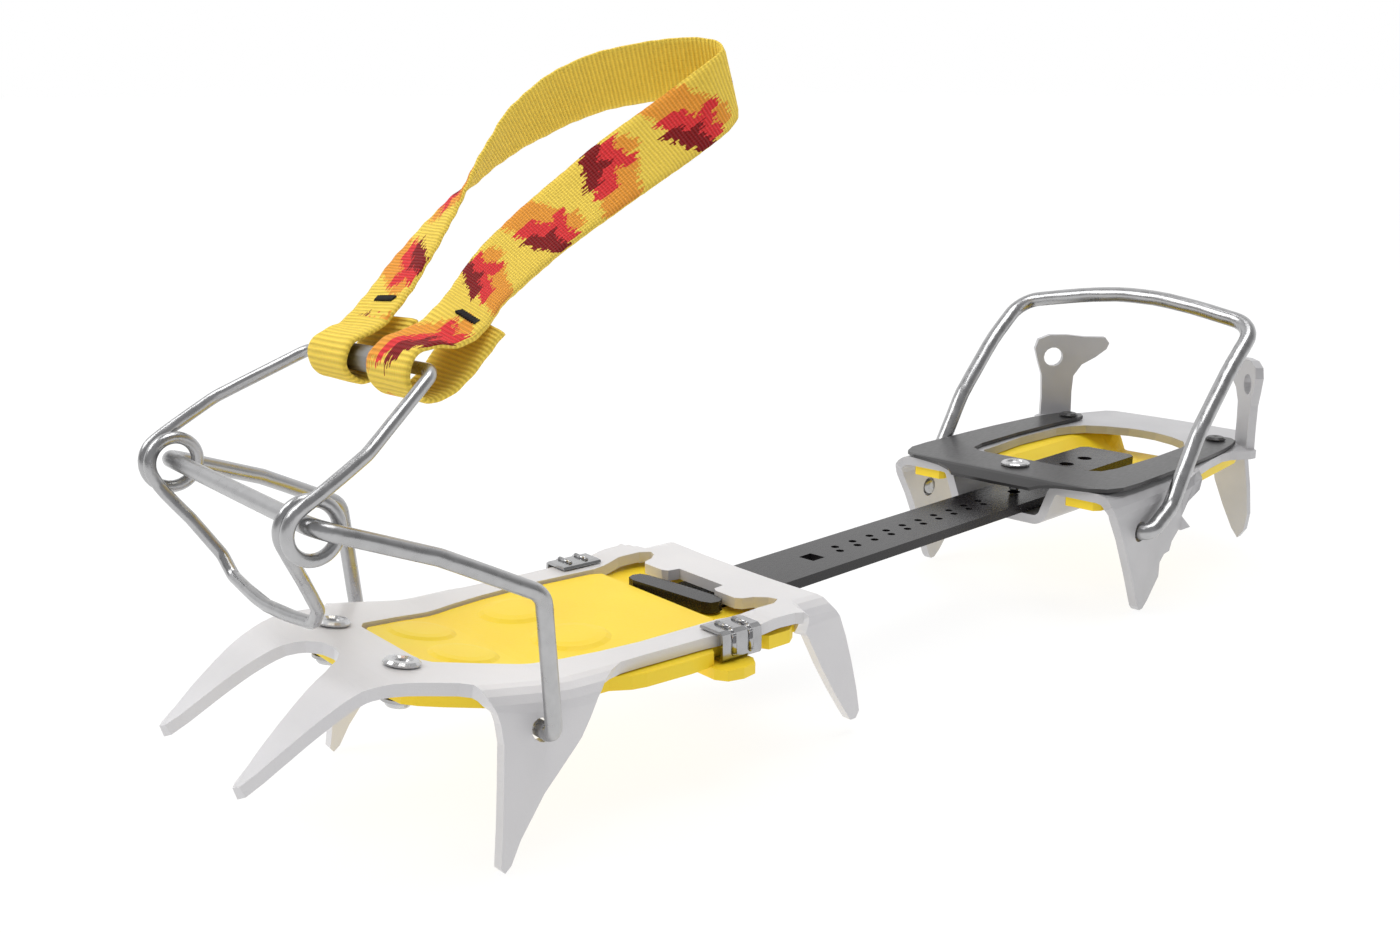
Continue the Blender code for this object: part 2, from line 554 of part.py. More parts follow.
def heel_map(s, y):
    a, sg = abs(s), (1.0 if s >= 0 else -1.0)
    if a < 24 + EXTRA:
        if y < 271.5:
            for i in range(len(LEN) - 1):
                if a <= LEN[i + 1] or i == len(LEN) - 2:
                    f = (a - LEN[i]) / (LEN[i + 1] - LEN[i])
                    p = flat_part[i].lerp(flat_part[i + 1], f) if f <= 1 else flat_part[i] + (flat_part[i + 1] - flat_part[i]) * f
                    return Vector((sg * p.x, y, p.z))
        return Vector((s * 24.0 / (24.0 + EXTRA), y, HEEL_TOP))
    x0 = heel_x0(y)
    x = a - EXTRA
    if x <= x0:
        return Vector((sg * x, y, HEEL_TOP))
    t = (x - x0) / HR
    if t < math.pi / 2:
        return Vector((sg * (x0 + HR * math.sin(t)), y, HEEL_TOP - HR * (1 - math.cos(t))))
    return Vector((sg * (x0 + HR), y, HEEL_TOP - HR - (x - x0 - HR * math.pi / 2)))


def hs(y, z):
    drop = HEEL_TOP - z
    if drop < HR:
        return EXTRA + heel_x0(y) + HR * math.acos(1 - drop / HR)
    return EXTRA + heel_x0(y) + HR * math.pi / 2 + drop - HR


def hx(x):
    """Flat-pattern distance of a point on the level part of the heel plate."""
    return x * (24.0 + EXTRA) / 24.0 if abs(x) < 24 else x + math.copysign(EXTRA, x)


half = [(0, 244.0), (hx(30), 244.0)]
half += [(hs(y, z), y) for y, z in ((243.8, 43.6), (243.6, 41), (246.0, 36), (251, 28), (257.5, 15), (263.4, 2.0), (265, 0.4), (267, 0.6),
                                    (270, 2.8), (274, 7), (277.0, 10), (277.2, 15.0), (280, 17.4), (283.6, 17.8), (285, 21),
                                    (289.4, 24.4), (293.6, 24.9), (291, 29), (292.4, 34), (295.5, 38.4))]
half += [(hx(46.2), 299.5), (hx(44.6), 305), (hx(42.6), 316), (hx(41.2), 328), (hx(42.0), 333), (hx(46.6), 339.4), (hx(47.2), 342.6),
         (hx(37.6), 352.6), (hx(35.6), 357), (hx(33.4), 362), (hx(30.6), 368.5), (hx(27.5), 370.6), (hx(12), 371.4), (0, 371.6)]
heel_outline = mirror_outline(half)
whalf = [(0, 269), (hx(23.2), 269), (hx(25.4), 271.8), (hx(25.8), 280), (hx(27.7), 300), (hx(26.6), 324), (hx(24.6), 331), (hx(21), 336.8), (hx(14), 341),
         (hx(5.6), 343.8), (0, 344.2)]
hwindow = mirror_outline(whalf)
hh = [hwindow]
for sx in (1, -1):
    hh.append(circle(sx * hs(HBAIL_Y, HBAIL_Z), HBAIL_Y, 3.6, 16))
    hh.append(circle(sx * hx(31.7), 341, 1.8, 10))
cuts = [(1, 291, -99, 99), (1, 294, -99, 99), (1, 297, -99, 99), (1, 300, -99, 99), (1, 303, -99, 99)]
for sx in (1, -1):
    cuts += [(0, sx * v, 240, 269.5) for v in LEN[1:-1]]
    cuts += [(0, sx * (EXTRA + HX0 + HR * math.pi / 2 * k / 4), 240, 302) for k in range(5)]
    cuts += [(0, sx * (24 + EXTRA), 320, 380)]
plate = thicken(flat_sheet(heel_outline, hh, cuts), heel_map, SHEET)
pieces = [plate]
for sx in (1, -1):
    # upright post on the rim, in a plane at 45 degrees round the heel
    w = Vector((-0.7071 * sx, 0.7071, 0))
    nrm = Vector((0.7071 * sx, 0.7071, 0))
    post = [(-6.4, 42.2), (6.2, 42.2), (6.0, 54), (6.4, 60.5), (9.6, 65.2), (15, 68.2), (19.4, 71.6), (20.4, 74), (18.6, 76.4),
            (10, 76.6), (3, 77.4), (-4, 77.4), (-8.6, 75.6), (-9.8, 71.8), (-8.4, 66.5), (-6.6, 61), (-6.2, 52)]
    bm = flat_sheet(post, [circle(-2.2, 68.4, 3.9, 14)], [])
    c0 = Vector((sx * 40.6, 346.6, 0))
    bm = thicken(bm, lambda s, z, w=w, c0=c0, nrm=nrm: c0 + w * s + Vector((0, 0, z)) + nrm * 1.5, 3.0 if sx < 0 else -3.0)
    if sx > 0:
        turned(bm, Matrix.Translation(-nrm * 3.0))
    pieces.append(bm)
    # rear spike, hanging from the rim with its face across the foot
    spike = [(22.6, 43.0), (23.4, 36), (25, 27), (29, 17), (33.0, 8.5), (35.6, 5.0), (38.0, 8.5), (39, 15), (38.2, 26), (36.8, 36), (35.4, 43.0)]
    bm = flat_sheet(spike, [], [])
    bm = thicken(bm, lambda s, z, sx=sx: Vector((sx * s, 356.2 + (43.0 - z) * 0.05, z)), 3.0 if sx > 0 else -3.0)
    if sx > 0:
        turned(bm, Matrix.Translation((0, 0, 0)))
    pieces.append(bm)
finish("heel_plate", union(pieces), heel, (0, 300, HEEL_TOP), WHITE)

# ------------------------------------------------------ heel plastic base
HB_TOP = HEEL_TOP - SHEET - GAP


def hb_map(s, y):
    a = abs(s)
    z = soft_table([(0, 32.8), (12.8, 32.8), (17.6, 36.5), (23.0, HB_TOP), (60, HB_TOP)], a, 1.2)
    # shoulders close the back on both sides; the middle stays open so that the bar can slide out
    rise = table([(347.5, 0.0), (352.5, 1.0)], y) * table([(13.0, 0.0), (16.6, 1.0)], a)
    return Vector((s, y, z + (HB_TOP - z) * rise))


half = [(0, 275), (12.0, 274.6), (25.2, 273.5), (25.2, 246.6), (26.2, 245.2), (36.6, 245.2), (38.4, 247.4), (39.2, 262), (39.4, 294),
        (41, 300.5), (43.4, 305), (42.2, 316), (40.4, 331), (39.0, 343), (36.2, 351), (34, 354), (0, 354.6)]
hb = flat_sheet(mirror_outline(half), [circle(sx * 31.7, 341, 1.9, 10) for sx in (1, -1)],
                [(0, sx * v, 0, 999) for sx in (1, -1) for v in (11.6, 13.0, 14.6, 16.6, 18.2, 20.3, 22.4, 24)] + [(1, y, -99, 99) for y in (347.5, 349.2, 350.9, 352.5)])
finish("heel_base_plastic", thicken(hb, hb_map, 3.0), heel, (0, 300, 39), YELLOW)

# --------------------------------------------------- adjuster spring plate
SPR_T = 1.3
SPR_TOP = HEEL_TOP + GAP + SPR_T


def spr_map(s, y):
    z = soft_table([(230, SPR_TOP - 5.6), (237, SPR_TOP - 2.6), (242.6, SPR_TOP), (400, SPR_TOP)], y, 0.9)
    return Vector((s, y, z))


half = [(0, 237.4), (16, 237.6), (18.5, 239.4), (24, 241), (36, 242.6), (41, 246), (43.6, 252), (44.2, 262), (43.6, 290), (43, 305), (41.2, 328), (39.6, 338),
        (37.6, 345.4), (34.4, 348.4), (30.6, 348.6), (27.8, 345.6), (27.2, 340), (28.4, 325), (29.2, 300), (28.4, 275), (26.6, 267), (22, 264.2), (13.4, 264), (0, 264)]
sh = [circle(0, 254, 2.3, 12), circle(31.7, 341, 1.8, 10), circle(-31.7, 341, 1.8, 10)]
bm = thicken(flat_sheet(mirror_outline(half), sh, [(1, y, -99, 99) for y in (238.5, 240, 241.4, 242.8, 244)]), spr_map, SPR_T)
finish("adjuster_spring", bm, heel, (0, 341, 45), GREY)

pin = lathe([(0, 36.9), (1.3, 36.9), (1.8, 37.7), (1.8, SPR_TOP + GAP), (5.0, SPR_TOP + GAP), (5.0, SPR_TOP + 0.9), (4.5, SPR_TOP + 1.3),
             (3.4, SPR_TOP + 1.3), (3.0, SPR_TOP + 0.8), (0, SPR_TOP + 0.8)])
finish("adjuster_pin", turned(pin, Matrix.Translation((0, 254, 0))), heel, (0, 254, 46), CHROME)

for tag, sx in (("near", 1), ("far", -1)):
    body = lathe([(0, 36.6), (2.7, 36.6), (2.7, 37.6), (1.4, 37.6), (1.4, SPR_TOP + GAP), (3.7, SPR_TOP + GAP), (3.7, SPR_TOP + 0.7),
                  (2.8, SPR_TOP + 1.4), (1.6, SPR_TOP + 1.5), (0, SPR_TOP + 1.2)], 16)
    finish("heel_rivet_" + tag, turned(body, Matrix.Translation((sx * 31.7, 341, 0))), heel, (sx * 31.7, 341, 46), CHROME)

# -------------------------------------------------------------- heel bail
WH = 2.95
right = [(41.2, HBAIL_Y, HBAIL_Z), (49.0, HBAIL_Y, HBAIL_Z), (49.2, 275, 36.0), (49.4, 290.8, 59.8), (49.4, 310.5, 79.2), (49.0, 329.0, 92.6), (0, 333, 101.0)]
left = [(-x, y, z) for x, y, z in reversed(right[:-1])]
path = rounded(right + left, [0, 3.6, 12, 30, 60, 10, 220, 10, 60, 30, 12, 3.6, 0])
finish("heel_bail", wire(path, WH), heel, (0, HBAIL_Y, HBAIL_Z), STEEL)
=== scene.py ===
import bpy
import bmesh
import math
import random
from mathutils import Vector, Matrix


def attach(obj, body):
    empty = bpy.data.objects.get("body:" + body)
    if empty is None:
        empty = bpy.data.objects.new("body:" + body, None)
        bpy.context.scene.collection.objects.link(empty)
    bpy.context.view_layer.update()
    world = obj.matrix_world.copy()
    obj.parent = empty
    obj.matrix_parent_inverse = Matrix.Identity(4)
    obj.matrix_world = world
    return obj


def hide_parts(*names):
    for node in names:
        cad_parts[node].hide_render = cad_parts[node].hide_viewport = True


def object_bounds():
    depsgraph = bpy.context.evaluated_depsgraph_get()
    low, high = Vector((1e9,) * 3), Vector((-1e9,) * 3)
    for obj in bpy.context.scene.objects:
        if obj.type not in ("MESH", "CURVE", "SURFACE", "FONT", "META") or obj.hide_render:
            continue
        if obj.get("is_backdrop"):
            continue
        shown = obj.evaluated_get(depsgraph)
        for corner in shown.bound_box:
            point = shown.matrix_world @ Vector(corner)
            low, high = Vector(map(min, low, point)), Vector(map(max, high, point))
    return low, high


U = 0.00096
OFFSET = Vector((13.70306, -159.72819, 0.18388))
SWING = math.radians(6.65)

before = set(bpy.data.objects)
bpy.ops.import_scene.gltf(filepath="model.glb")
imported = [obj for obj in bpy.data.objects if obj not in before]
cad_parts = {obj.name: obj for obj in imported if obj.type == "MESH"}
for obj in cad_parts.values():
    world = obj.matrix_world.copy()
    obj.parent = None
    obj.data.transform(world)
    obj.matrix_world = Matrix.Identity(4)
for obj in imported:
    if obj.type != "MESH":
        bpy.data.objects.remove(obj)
size = {"loaded": [list(v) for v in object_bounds()]} if not isinstance(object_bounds(), dict) else {"loaded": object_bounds()}
random.seed(4)


def toe(p):
    return (Vector(p) + OFFSET) * U


def heel(p):
    c, s = math.cos(SWING), math.sin(SWING)
    x, y = p[0], p[1] - 84.0
    return (Vector((c * x - s * y + 1.3, s * x + c * y + 84.0, p[2])) + OFFSET) * U


# ------------------------------------------------------------------ nodes
class N:
    """Small helper for building shader node trees."""

    def __init__(self, name):
        self.m = bpy.data.materials.new(name)
        self.m.use_nodes = True
        self.t = self.m.node_tree
        self.b = self.t.nodes["Principled BSDF"]

    def new(self, kind, **kw):
        n = self.t.nodes.new(kind)
        for k, v in kw.items():
            setattr(n, k, v)
        return n

    def link(self, a, b):
        self.t.links.new(a, b)

    def put(self, sock, v):
        if isinstance(v, bpy.types.NodeSocket):
            self.link(v, sock)
        else:
            sock.default_value = v

    def math(self, op, a, b=None, c=None):
        n = self.new("ShaderNodeMath", operation=op)
        self.put(n.inputs[0], a)
        if b is not None:
            self.put(n.inputs[1], b)
        if c is not None:
            self.put(n.inputs[2], c)
        return n.outputs[0]

    def mix(self, f, a, b):
        n = self.new("ShaderNodeMix", data_type="RGBA")
        self.put(n.inputs[0], f)
        self.put(n.inputs[6], a if isinstance(a, bpy.types.NodeSocket) else (*a, 1.0))
        self.put(n.inputs[7], b if isinstance(b, bpy.types.NodeSocket) else (*b, 1.0))
        return n.outputs[2]

    def coord(self):
        return self.new("ShaderNodeTexCoord").outputs["Object"]

    def noise(self, scale, detail=2.0, stretch=None, vec=None):
        v = vec or self.coord()
        if stretch:
            mp = self.new("ShaderNodeMapping")
            self.link(v, mp.inputs[0])
            mp.inputs["Scale"].default_value = stretch
            v = mp.outputs[0]
        n = self.new("ShaderNodeTexNoise")
        n.inputs["Scale"].default_value = scale
        n.inputs["Detail"].default_value = detail
        self.link(v, n.inputs["Vector"])
        return n.outputs[0]

    def ramp(self, v, stops):
        n = self.new("ShaderNodeValToRGB")
        self.link(v, n.inputs[0])
        el = n.color_ramp.elements
        while len(el) < len(stops):
            el.new(0.5)
        for e, (p, c) in zip(el, stops):
            e.position = p
            e.color = (*c, 1.0) if len(c) == 3 else c
        return n.outputs[0]

    def bump(self, h, strength, dist):
        n = self.new("ShaderNodeBump")
        n.inputs["Strength"].default_value = strength
        n.inputs["Distance"].default_value = dist
        self.link(h, n.inputs["Height"])
        self.link(n.outputs[0], self.b.inputs["Normal"])

    def set(self, **kw):
        for k, v in kw.items():
            self.put(self.b.inputs[k.replace("_", " ")], v if not isinstance(v, tuple) or len(v) == 4 else (*v, 1.0))
        return self


def white_paint():
    n = N("white_coat")
    big = n.noise(60, 3)
    fine = n.noise(2600, 2)
    n.put(n.b.inputs["Base Color"], n.ramp(big, [(0.3, (0.72, 0.71, 0.725)), (0.7, (0.755, 0.745, 0.755))]))
    n.put(n.b.inputs["Roughness"], n.math("MULTIPLY_ADD", big, 0.14, 0.27))
    n.set(Metallic=0.0)
    n.b.inputs["Coat Weight"].default_value = 0.25
    n.b.inputs["Coat Roughness"].default_value = 0.2
    n.bump(fine, 0.10, 0.0004)
    return n.m


def grey_plate():
    n = N("silver_coat")
    big = n.noise(60, 3)
    fine = n.noise(2600, 2)
    n.put(n.b.inputs["Base Color"], n.ramp(big, [(0.3, (0.50, 0.495, 0.505)), (0.7, (0.57, 0.565, 0.575))]))
    n.put(n.b.inputs["Roughness"], n.math("MULTIPLY_ADD", big, 0.14, 0.32))
    n.set(Metallic=0.35)
    n.bump(fine, 0.10, 0.0004)
    return n.m


def yellow_plastic():
    n = N("yellow_moulded")
    big = n.noise(40, 2)
    fine = n.noise(1500, 3)
    n.put(n.b.inputs["Base Color"], n.ramp(big, [(0.3, (1.0, 0.70, 0.02)), (0.75, (1.0, 0.755, 0.03))]))
    n.put(n.b.inputs["Roughness"], n.math("MULTIPLY_ADD", fine, 0.16, 0.40))
    n.b.inputs["Subsurface Weight"].default_value = 0.08
    n.b.inputs["Subsurface Radius"].default_value = (0.004, 0.003, 0.001)
    n.b.inputs["Subsurface Scale"].default_value = 0.3
    n.bump(fine, 0.16, 0.0003)
    return n.m


def steel(name, base, rough, stretch=(1, 1, 1), speck=0.0):
    n = N(name)
    streak = n.noise(300, 4, stretch)
    fine = n.noise(2400, 2)
    lo = tuple(c * 0.86 for c in base)
    n.put(n.b.inputs["Base Color"], n.ramp(streak, [(0.3, lo), (0.7, base)]))
    n.set(Metallic=1.0)
    n.put(n.b.inputs["Roughness"], n.math("MULTIPLY_ADD", streak, 0.22, rough - 0.08))
    n.bump(n.math("ADD", fine, n.math("MULTIPLY", streak, 1.5)), 0.035, 0.0003)
    return n.m


def dark_sheet():
    n = N("spring_leaf")
    big = n.noise(35, 2)
    fine = n.noise(1800, 3, (1, 0.2, 1))
    n.put(n.b.inputs["Base Color"], n.ramp(big, [(0.3, (0.035, 0.034, 0.035)), (0.7, (0.052, 0.051, 0.052))]))
    n.set(Metallic=0.0, Specular_IOR_Level=0.35)
    n.put(n.b.inputs["Roughness"], n.math("MULTIPLY_ADD", fine, 0.2, 0.22))
    n.bump(fine, 0.1, 0.0002)
    return n.m


def black_bar():
    n = N("black_coat")
    big = n.noise(50, 3)
    fine = n.noise(1600, 3, (1, 0.3, 1))
    n.put(n.b.inputs["Base Color"], n.ramp(big, [(0.3, (0.009, 0.008, 0.009)), (0.7, (0.014, 0.012, 0.014))]))
    n.set(Metallic=0.0)
    n.b.inputs["Specular IOR Level"].default_value = 0.35
    n.put(n.b.inputs["Roughness"], n.math("MULTIPLY_ADD", fine, 0.14, 0.2))
    n.bump(fine, 0.035, 0.0003)
    return n.m


def webbing(printed_side, plain_after):
    """Ribbed webbing. Attribute lay holds (metres along, -1..1 across, side)."""
    n = N("webbing")
    at = n.new("ShaderNodeAttribute", attribute_name="lay")
    sep = n.new("ShaderNodeSeparateXYZ")
    n.link(at.outputs["Vector"], sep.inputs[0])
    u, v, side = sep.outputs[0], sep.outputs[1], sep.outputs[2]
    # warp threads: each thread starts and stops a little differently
    thread = n.math("FLOOR", n.math("MULTIPLY", v, 26.0))
    wn = n.new("ShaderNodeTexWhiteNoise", noise_dimensions="2D")
    cell_pitch = 0.0325
    comb = n.new("ShaderNodeCombineXYZ")
    n.link(thread, comb.inputs[0])
    n.link(n.math("FLOOR", n.math("DIVIDE", u, 0.008)), comb.inputs[1])
    n.link(comb.outputs[0], wn.inputs["Vector"])
    jag = n.math("MULTIPLY", n.math("SUBTRACT", wn.outputs["Value"], 0.5), 0.0034)
    uj = n.math("ADD", u, jag)
    f = n.math("FRACT", n.math("DIVIDE", uj, cell_pitch))
    cell = n.math("FLOOR", n.math("DIVIDE", uj, cell_pitch))
    flip = n.math("SUBTRACT", n.math("MULTIPLY", n.math("PINGPONG", cell, 1.0), 2.0), 1.0)
    vv = n.math("MULTIPLY", v, flip)

    def band(centre, slope, half, vlo, vhi):
        d = n.math("ABSOLUTE", n.math("SUBTRACT", f, n.math("MULTIPLY_ADD", vv, slope, centre)))
        inside = n.math("LESS_THAN", d, half)
        a = n.math("GREATER_THAN", vv, vlo)
        b = n.math("LESS_THAN", vv, vhi)
        return n.math("MULTIPLY", inside, n.math("MULTIPLY", a, b))

    orange = n.math("MAXIMUM", band(0.52, 0.22, 0.25, -1.0, 0.15), band(0.80, -0.10, 0.12, 0.2, 0.75))
    red = n.math("MAXIMUM", band(0.36, 0.26, 0.15, -0.45, 0.9), band(0.68, -0.25, 0.10, -0.1, 0.5))
    dark = n.math("MAXIMUM", band(0.20, 0.24, 0.11, -0.05, 1.0), band(0.55, -0.3, 0.07, 0.25, 0.7))
    yellow = (1.0, 0.72, 0.10)
    c = n.mix(orange, yellow, (0.93, 0.37, 0.045))
    c = n.mix(red, c, (0.83, 0.04, 0.045))
    c = n.mix(dark, c, (0.26, 0.008, 0.010))
    plain = n.math("LESS_THAN", n.math("MULTIPLY", side, printed_side), 0.0)
    plain = n.math("MAXIMUM", plain, n.math("GREATER_THAN", u, plain_after))
    c = n.mix(plain, c, yellow)
    # painted shade of the ribs (grooves darker, rib tops lighter) plus random fibre tone, multiplied into the webbing
    # colour
    rib = n.math("SINE", n.math("MULTIPLY", u, 2 * math.pi / 0.0013))
    warp = n.math("SINE", n.math("MULTIPLY", v, 2 * math.pi * 13))
    fib = n.noise(900, 3)
    rib_shade_and_fibre_tone = n.math("MULTIPLY_ADD", rib, 0.13, n.math("MULTIPLY_ADD", fib, 0.12, 0.90))
    mul = n.new("ShaderNodeMix", data_type="RGBA", blend_type="MULTIPLY")
    mul.inputs[0].default_value = 1.0
    n.link(c, mul.inputs[6])
    g = n.new("ShaderNodeCombineXYZ")
    for k in range(3):
        n.link(rib_shade_and_fibre_tone, g.inputs[k])
    n.link(g.outputs[0], mul.inputs[7])
    n.link(mul.outputs[2], n.b.inputs["Base Color"])
    n.set(Roughness=0.85, Specular_IOR_Level=0.2)
    n.b.inputs["Sheen Weight"].default_value = 0.05
    h = n.math("MULTIPLY_ADD", rib, 0.5, n.math("MULTIPLY_ADD", warp, 0.16, n.math("MULTIPLY", fib, 0.6)))
    n.bump(h, 0.8, 0.00045)
    return n.m


def thread_mat():
    n = N("black_thread")
    n.put(n.b.inputs["Base Color"], n.ramp(n.noise(1800, 2), [(0.3, (0.008, 0.007, 0.007)), (0.7, (0.025, 0.022, 0.022))]))
    n.set(Roughness=0.8)
    n.bump(n.noise(2600, 2), 0.4, 0.0003)
    return n.m


M_WHITE = white_paint()
M_SILVER = grey_plate()
M_YELLOW = yellow_plastic()
M_WIRE = steel("stainless_wire", (0.47, 0.47, 0.475), 0.26)
M_CLIP = steel("clip_steel", (0.42, 0.42, 0.425), 0.14)
M_ROD = steel("rod_sleeve", (0.34, 0.34, 0.345), 0.38, (0.1, 1, 1))
M_CHROME = steel("bright_steel", (0.62, 0.62, 0.625), 0.24)
M_WASHER = steel("washer_steel", (0.5, 0.5, 0.5), 0.35)
M_LEAF = dark_sheet()
M_BAR = black_bar()
M_THREAD = thread_mat()

look = {"toe_plate": M_WHITE, "heel_plate": M_SILVER, "toe_base_plastic": M_YELLOW, "heel_base_plastic": M_YELLOW,
        "toe_bail": M_WIRE, "lever_wire": M_WIRE, "heel_bail": M_WIRE, "lever_sleeve": M_ROD, "link_bar": M_BAR,
        "adjuster_spring": M_LEAF, "adjuster_pin": M_CHROME, "heel_rivet_near": M_LEAF, "heel_rivet_far": M_LEAF,
        "toe_rivet_near": M_CHROME, "toe_rivet_far": M_CHROME, "toe_washer_near": M_WASHER, "toe_washer_far": M_WASHER,
        "toe_clip_near": M_CLIP, "toe_clip_far": M_CLIP, "strap_bartack_near": M_THREAD, "strap_bartack_far": M_THREAD,
        "ankle_strap": M_YELLOW}
for name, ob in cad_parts.items():
    ob.data.materials.clear()
    ob.data.materials.append(look[name])
    for p in ob.data.polygons:
        p.use_smooth = True


def soften(name, width, segs=2, angle=32):
    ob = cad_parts[name]
    b = ob.modifiers.new("edge", "BEVEL")
    b.width = width
    b.segments = segs
    b.limit_method = "ANGLE"
    b.angle_limit = math.radians(angle)
    b.harden_normals = True
    b.use_clamp_overlap = True


for nm, w in (("toe_plate", 0.00055), ("heel_plate", 0.0005), ("toe_base_plastic", 0.0004), ("heel_base_plastic", 0.0004),
              ("link_bar", 0.00035), ("adjuster_spring", 0.0002), ("toe_clip_near", 0.0002), ("toe_clip_far", 0.0002),
              ("adjuster_pin", 0.00015), ("toe_rivet_near", 0.00015), ("toe_rivet_far", 0.00015)):
    soften(nm, w)
for nm in ("toe_bail", "lever_wire", "heel_bail"):
    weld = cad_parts[nm].modifiers.new("join", "WELD")
    weld.merge_threshold = 0.00001
    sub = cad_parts[nm].modifiers.new("round", "SUBSURF")
    sub.levels = 1
    sub.render_levels = 1
for nm in ("lever_sleeve", "toe_washer_near", "toe_washer_far", "heel_rivet_near", "heel_rivet_far"):
    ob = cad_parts[nm]
    e = ob.modifiers.new("split", "EDGE_SPLIT")
    e.split_angle = math.radians(50)


# ------------------------------------------------------------------ strap
ST = [((13.5, 18.5, 122.4), (9.7, 0.2, -1.6)), ((16.6, 10.8, 116.6), (9.7, 0.1, -0.8)), ((18.4, 4.0, 111.0), (9.7, 0, 0)),
      ((18.9, -1.5, 108.4), (9.7, 0, 0.3)), ((19.0, -6.0, 109.2), (9.7, 0, 0.4)), ((18.8, -8.9, 112.6), (9.5, 0, 0.4)), ((18.7, -8.6, 117.0), (9.5, 0, 0.4)),
      ((18.5, -5.4, 119.8), (9.5, 0, 0.2)), ((17.7, -0.5, 120.6), (9.6, 0, -0.4)), ((16.6, 5.6, 121.2), (9.6, 0.1, -1.4)),
      ((14.0, 13.0, 124.2), (9.5, 0.2, -2.2)), ((4.9, 23.6, 128.4), (9.5, 0.2, -2.6)), ((-4.2, 34.9, 132.2), (8.9, 0.5, -3.9)),
      ((-14.9, 54.1, 139.6), (8.4, 1.0, -4.9)), ((-22.6, 72.4, 146.7), (7.6, 1.8, -5.8)), ((-26.8, 89.1, 154.3), (6.4, 2.9, -6.8)),
      ((-28.7, 104.7, 161.7), (5.4, 3.6, -7.3)), ((-29.8, 117.3, 168.1), (4.4, 3.8, -7.9)), ((-30.6, 126.2, 173.1), (1.4, 4.3, -8.6)),
      ((-32.9, 132.6, 177.0), (-0.6, 3.6, -9.1)), ((-38.6, 134.6, 179.6), (-1.2, 3.3, -9.1)), ((-45.9, 130.1, 180.9), (-1.9, 3.4, -9.0)),
      ((-52.4, 120.1, 180.2), (-2.8, 4.0, -8.5)), ((-57.2, 106.0, 177.6), (-3.1, 4.6, -8.0)), ((-58.5, 93.7, 173.7), (-3.5, 5.4, -7.3)),
      ((-57.0, 82.5, 169.0), (-4.3, 6.1, -6.2)), ((-54.5, 71.8, 163.6), (-5.6, 6.3, -4.7)), ((-50.8, 62.7, 158.0), (-6.9, 6.0, -3.1)),
      ((-46.6, 54.9, 153.2), (-7.7, 5.6, -2.0)), ((-42.6, 48.6, 149.5), (-8.4, 4.7, -1.0)), ((-39.0, 42.6, 146.0), (-9.0, 3.6, -0.5)),
      ((-34.8, 35.9, 141.8), (-9.4, 2.4, -0.3)), ((-29.4, 26.8, 135.9), (-9.6, 1.0, -0.4)), ((-23.0, 17.6, 130.2), (-9.7, 0.0, -0.6)),
      ((-16.4, 8.6, 124.9), (-9.7, -0.6, -0.9)), ((-12.4, 0.8, 120.6), (-9.7, -0.3, -0.5)), ((-10.6, -4.2, 119.2), (-9.7, 0, -0.4)),
      ((-10.0, -8.3, 117.4), (-9.7, 0, -0.4)), ((-10.0, -9.9, 113.8), (-9.7, 0, -0.4)), ((-10.0, -8.5, 110.3), (-9.7, 0, -0.4)),
      ((-10.0, -4.8, 108.7), (-9.7, 0, -0.4)), ((-10.2, -0.3, 110.4), (-9.7, 0, -0.4)), ((-10.4, 4.4, 116.2), (-9.7, -0.2, -0.5)),
      ((-10.6, 9.2, 121.4), (-9.7, -0.3, -0.6))]
WEB_T = 1.5
WEB_W = 9.75


def catmull(a, b, c, d, t):
    return 0.5 * ((2 * b) + (c - a) * t + (2 * a - 5 * b + 4 * c - d) * t * t + (3 * b - a - 3 * c + d) * t ** 3)


def station_line(sub):
    fine = []
    for i in range(len(ST) - 1):
        ids = [max(0, i - 1), i, i + 1, min(len(ST) - 1, i + 2)]
        for k in range(sub):
            t = k / sub
            fine.append(tuple(catmull(*[Vector(ST[q][j]) for q in ids], t) for j in (0, 1)))
    fine.append((Vector(ST[-1][0]), Vector(ST[-1][1])))
    return fine


